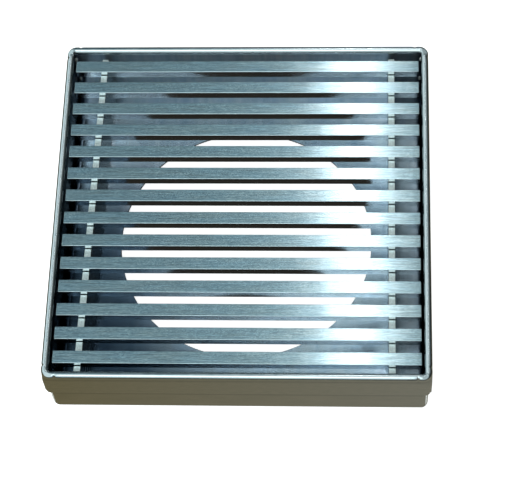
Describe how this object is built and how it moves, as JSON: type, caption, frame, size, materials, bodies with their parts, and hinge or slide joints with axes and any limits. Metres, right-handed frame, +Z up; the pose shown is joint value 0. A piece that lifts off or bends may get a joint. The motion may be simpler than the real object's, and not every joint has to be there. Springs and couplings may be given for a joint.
{
  "type": "floor drain grate",
  "caption": "Square stainless floor drain: a folded tray with a round outlet and rolled rim, and a loose grate of flat bars that lifts out.",
  "frame": {"origin": "centre of the tray's flat underside, where the drain beds on the floor", "axes": "+X along the bars, +Y towards the back, +Z up out of the floor"},
  "size_m": [0.115, 0.115, 0.025],
  "materials": {
    "tray_sheet": "folded sheet, dull mill finish inside",
    "rolled_rim": "rolled sheet, satin, ground at the corners",
    "brushed_bar": "brushed along the bar on top, smooth drawn sides",
    "cut_plate": "cut edge, mottled by heat",
    "weld_metal": "small tack welds, not ground"
  },
  "bodies": {
    "frame": {"tray_pan": "tray_sheet", "rim_front": "rolled_rim", "rim_back": "rolled_rim", "rim_left": "rolled_rim", "rim_right": "rolled_rim", "corner_weld_front_left_low": "weld_metal", "corner_weld_front_left_high": "weld_metal", "corner_weld_front_right_low": "weld_metal", "corner_weld_front_right_high": "weld_metal", "corner_weld_back_left_low": "weld_metal", "corner_weld_back_left_high": "weld_metal", "corner_weld_back_right_low": "weld_metal", "corner_weld_back_right_high": "weld_metal"},
    "grate": {"bar_01": "brushed_bar", "bar_02": "brushed_bar", "bar_03": "brushed_bar", "bar_04": "brushed_bar", "bar_05": "brushed_bar", "bar_06": "brushed_bar", "bar_07": "brushed_bar", "bar_08": "brushed_bar", "bar_09": "brushed_bar", "bar_10": "brushed_bar", "bar_11": "brushed_bar", "bar_12": "brushed_bar", "bar_13": "brushed_bar", "bar_14": "brushed_bar", "support_plate_left": "cut_plate", "support_plate_right": "cut_plate"}
  },
  "joints": [
    {"name": "grate_lift", "type": "slide", "parent": "frame", "child": "grate", "axis": [0, 0, 1], "range_m": [0, 0.04]}
  ]
}
